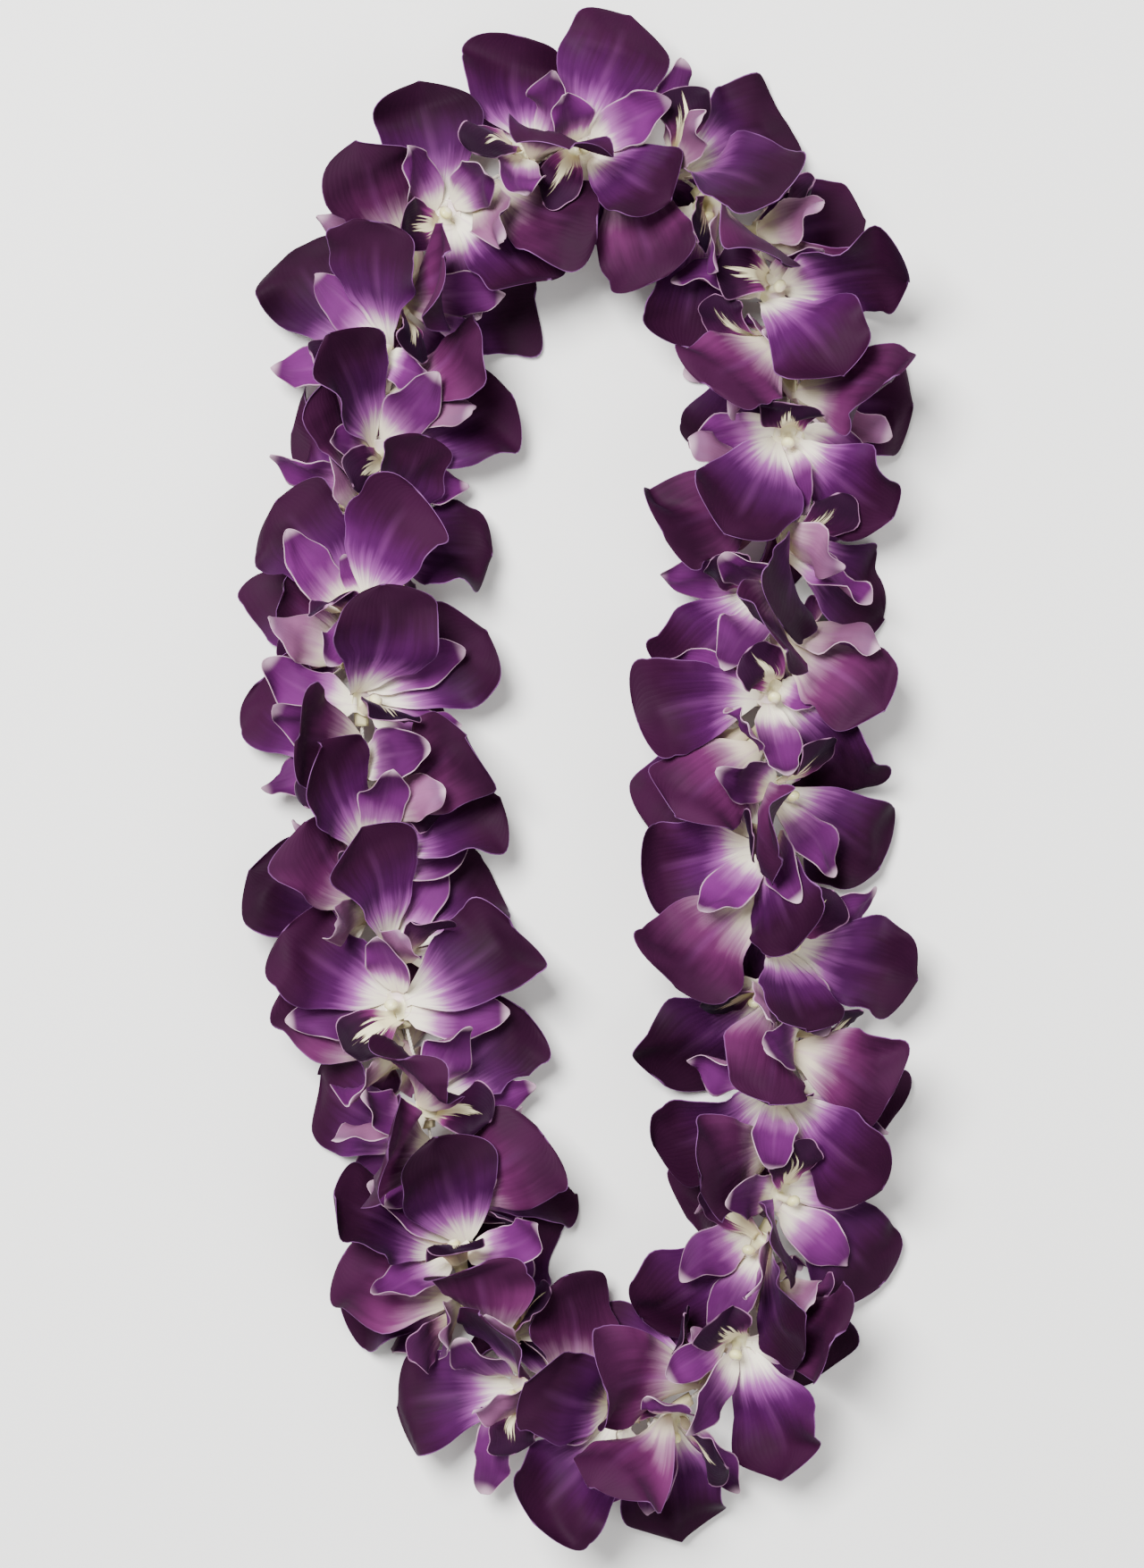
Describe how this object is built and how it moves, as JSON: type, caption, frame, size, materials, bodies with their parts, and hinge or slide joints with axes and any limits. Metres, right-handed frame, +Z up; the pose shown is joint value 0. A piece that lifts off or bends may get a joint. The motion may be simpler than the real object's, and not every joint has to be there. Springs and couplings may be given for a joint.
{
  "type": "fresh flower lei",
  "caption": "Single-strand lei of purple and white dendrobium orchid blossoms threaded neck first on a knotted cotton thread, lying in a long oval.",
  "frame": {"origin": "middle of the lei's outline seen from above, on the surface that it lies on", "axes": "+Z up from the surface; +Y along the oval, towards the picture's top; +X to the picture's right"},
  "size_m": [0.2146, 0.4786, 0.06],
  "materials": {
    "orchid_blossom": "soft satin petals, deep violet at the tips and white at the throat",
    "cotton_thread": "matte twisted cotton"
  },
  "bodies": {
    "root": {"thread": "cotton_thread", "blossom_01": "orchid_blossom", "blossom_02": "orchid_blossom", "blossom_03": "orchid_blossom", "blossom_04": "orchid_blossom", "blossom_05": "orchid_blossom", "blossom_06": "orchid_blossom", "blossom_07": "orchid_blossom", "blossom_08": "orchid_blossom", "blossom_09": "orchid_blossom", "blossom_10": "orchid_blossom", "blossom_11": "orchid_blossom", "blossom_12": "orchid_blossom", "blossom_13": "orchid_blossom", "blossom_14": "orchid_blossom", "blossom_15": "orchid_blossom", "blossom_16": "orchid_blossom", "blossom_17": "orchid_blossom", "blossom_18": "orchid_blossom", "blossom_19": "orchid_blossom", "blossom_20": "orchid_blossom", "blossom_21": "orchid_blossom", "blossom_22": "orchid_blossom", "blossom_23": "orchid_blossom", "blossom_24": "orchid_blossom", "blossom_25": "orchid_blossom", "blossom_26": "orchid_blossom", "blossom_27": "orchid_blossom", "blossom_28": "orchid_blossom", "blossom_29": "orchid_blossom", "blossom_30": "orchid_blossom", "blossom_31": "orchid_blossom", "blossom_32": "orchid_blossom", "blossom_33": "orchid_blossom", "blossom_34": "orchid_blossom", "blossom_35": "orchid_blossom", "blossom_36": "orchid_blossom", "blossom_37": "orchid_blossom", "blossom_38": "orchid_blossom", "blossom_39": "orchid_blossom", "blossom_40": "orchid_blossom", "blossom_41": "orchid_blossom", "blossom_42": "orchid_blossom", "blossom_43": "orchid_blossom", "blossom_44": "orchid_blossom", "blossom_45": "orchid_blossom", "blossom_46": "orchid_blossom", "blossom_47": "orchid_blossom", "blossom_48": "orchid_blossom", "blossom_49": "orchid_blossom", "blossom_50": "orchid_blossom", "blossom_51": "orchid_blossom", "blossom_52": "orchid_blossom", "blossom_53": "orchid_blossom", "blossom_54": "orchid_blossom", "blossom_55": "orchid_blossom", "blossom_56": "orchid_blossom", "blossom_57": "orchid_blossom", "blossom_58": "orchid_blossom"}
  },
  "joints": []
}
